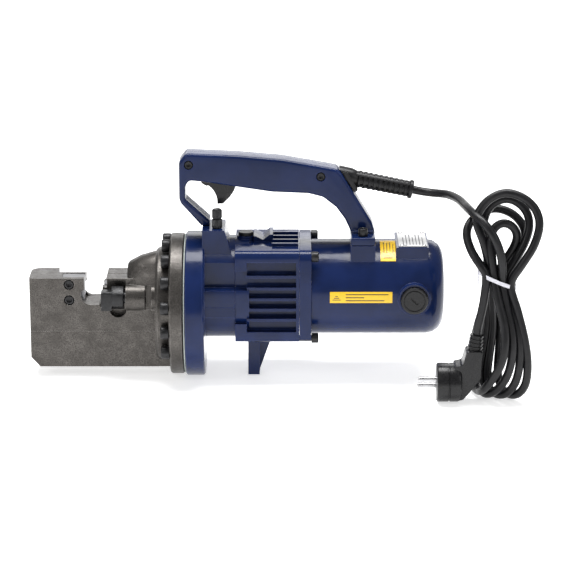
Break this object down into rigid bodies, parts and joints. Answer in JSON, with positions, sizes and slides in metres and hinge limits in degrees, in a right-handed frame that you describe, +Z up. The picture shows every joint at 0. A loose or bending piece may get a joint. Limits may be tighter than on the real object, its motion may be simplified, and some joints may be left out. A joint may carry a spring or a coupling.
{
  "type": "rebar cutter",
  "caption": "Portable electro-hydraulic rebar cutter: steel head with a U-shaped jaw, finned gear housing, round motor, top handle with trigger and a tied mains cord.",
  "frame": {"origin": "on the floor under the middle of the tool, its cord, tie and plug left out", "axes": "+X from the cutting head to the motor, +Y away from the stopper side, +Z up"},
  "size_m": [0.4957, 0.1893, 0.2266],
  "materials": {
    "cast_steel": "cast, satin",
    "navy_enamel": "gloss enamel",
    "bright_steel": "ground",
    "tool_steel": "ground",
    "black_steel": "black oxide",
    "copper": "satin",
    "black_rubber": "matte",
    "black_plastic": "satin",
    "white_plastic": "satin",
    "gasket_fibre": "matte",
    "yellow_label": "printed film",
    "white_label": "printed film"
  },
  "bodies": {
    "tool": {"cutter_head": "cast_steel", "fixed_blade": "tool_steel", "fixed_blade_screw_lower": "black_steel", "fixed_blade_screw_upper": "black_steel", "head_bolt_01": "black_steel", "head_bolt_02": "black_steel", "head_bolt_03": "black_steel", "head_bolt_04": "black_steel", "head_bolt_05": "black_steel", "head_bolt_06": "black_steel", "head_bolt_07": "black_steel", "head_bolt_08": "black_steel", "head_bolt_09": "black_steel", "head_bolt_10": "black_steel", "head_bolt_11": "black_steel", "head_bolt_12": "black_steel", "flange_gasket": "gasket_fibre", "pump_case": "navy_enamel", "oil_bladder": "black_rubber", "release_valve_nut": "black_steel", "oil_plug": "black_steel", "gear_housing": "navy_enamel", "motor_cover": "navy_enamel", "motor_bolt_1": "black_steel", "motor_bolt_2": "black_steel", "motor_bolt_3": "black_steel", "motor_bolt_4": "black_steel", "front_bearing": "bright_steel", "rear_bearing": "bright_steel", "stator": "tool_steel", "motor_housing": "navy_enamel", "brush_cap_near": "black_plastic", "brush_cap_far": "black_plastic", "carbon_brush_near": "black_plastic", "carbon_brush_far": "black_plastic", "handle_near_half": "navy_enamel", "handle_far_half": "navy_enamel", "handle_screw_front": "black_steel", "handle_screw_rear": "black_steel", "handle_bolt_near": "black_steel", "handle_bolt_far": "black_steel", "switch": "black_plastic", "strain_relief": "black_rubber", "cord_lead": "black_rubber", "cord_hank": "black_rubber", "cable_tie": "white_plastic", "plug": "black_plastic"},
    "ram": {"ram": "bright_steel", "moving_blade": "tool_steel", "ram_seal": "black_rubber", "ram_return_spring": "bright_steel"},
    "stopper": {"stopper_screw": "black_steel"},
    "trigger": {"trigger": "black_plastic"},
    "release_valve": {"release_valve_knob": "black_steel"},
    "armature": {"armature": "bright_steel", "commutator": "copper", "cooling_fan": "black_plastic"},
    "eccentric": {"eccentric_shaft": "bright_steel", "drive_gear": "bright_steel"},
    "plunger": {"pump_plunger": "bright_steel"}
  },
  "joints": [
    {"name": "ram_slide", "type": "slide", "parent": "tool", "child": "ram", "axis": [-1, 0, 0], "range_m": [0, 0.02], "stiffness_N_per_m": 2000, "deforming": ["ram_return_spring"]},
    {"name": "stopper_slide", "type": "slide", "parent": "tool", "child": "stopper", "axis": [-1, 0, 0], "range_m": [0, 0.008]},
    {"name": "trigger_pull", "type": "hinge", "parent": "tool", "child": "trigger", "pos_m": [-0.003, 0, 0.199], "axis": [0, 1, 0], "range_deg": [0, 12], "stiffness_Nm_per_rad": 0.6, "springref_deg": -5.73},
    {"name": "valve_turn", "type": "hinge", "parent": "tool", "child": "release_valve", "pos_m": [-0.0185, -0.0205, 0.165], "axis": [0, 0, 1], "range_deg": [0, 270]},
    {"name": "motor_spin", "type": "hinge", "parent": "tool", "child": "armature", "pos_m": [0, 0, 0.0885], "axis": [1, 0, 0], "continuous": true},
    {"name": "eccentric_spin", "type": "hinge", "parent": "tool", "child": "eccentric", "pos_m": [0, 0, 0.1125], "axis": [1, 0, 0], "continuous": true},
    {"name": "plunger_stroke", "type": "slide", "parent": "tool", "child": "plunger", "axis": [0, 0, -1], "range_m": [0, 0.004], "stiffness_N_per_m": 500}
  ],
  "couplings": [
    {"joint": "eccentric_spin", "follows": "motor_spin", "ratio": -0.33333}
  ]
}
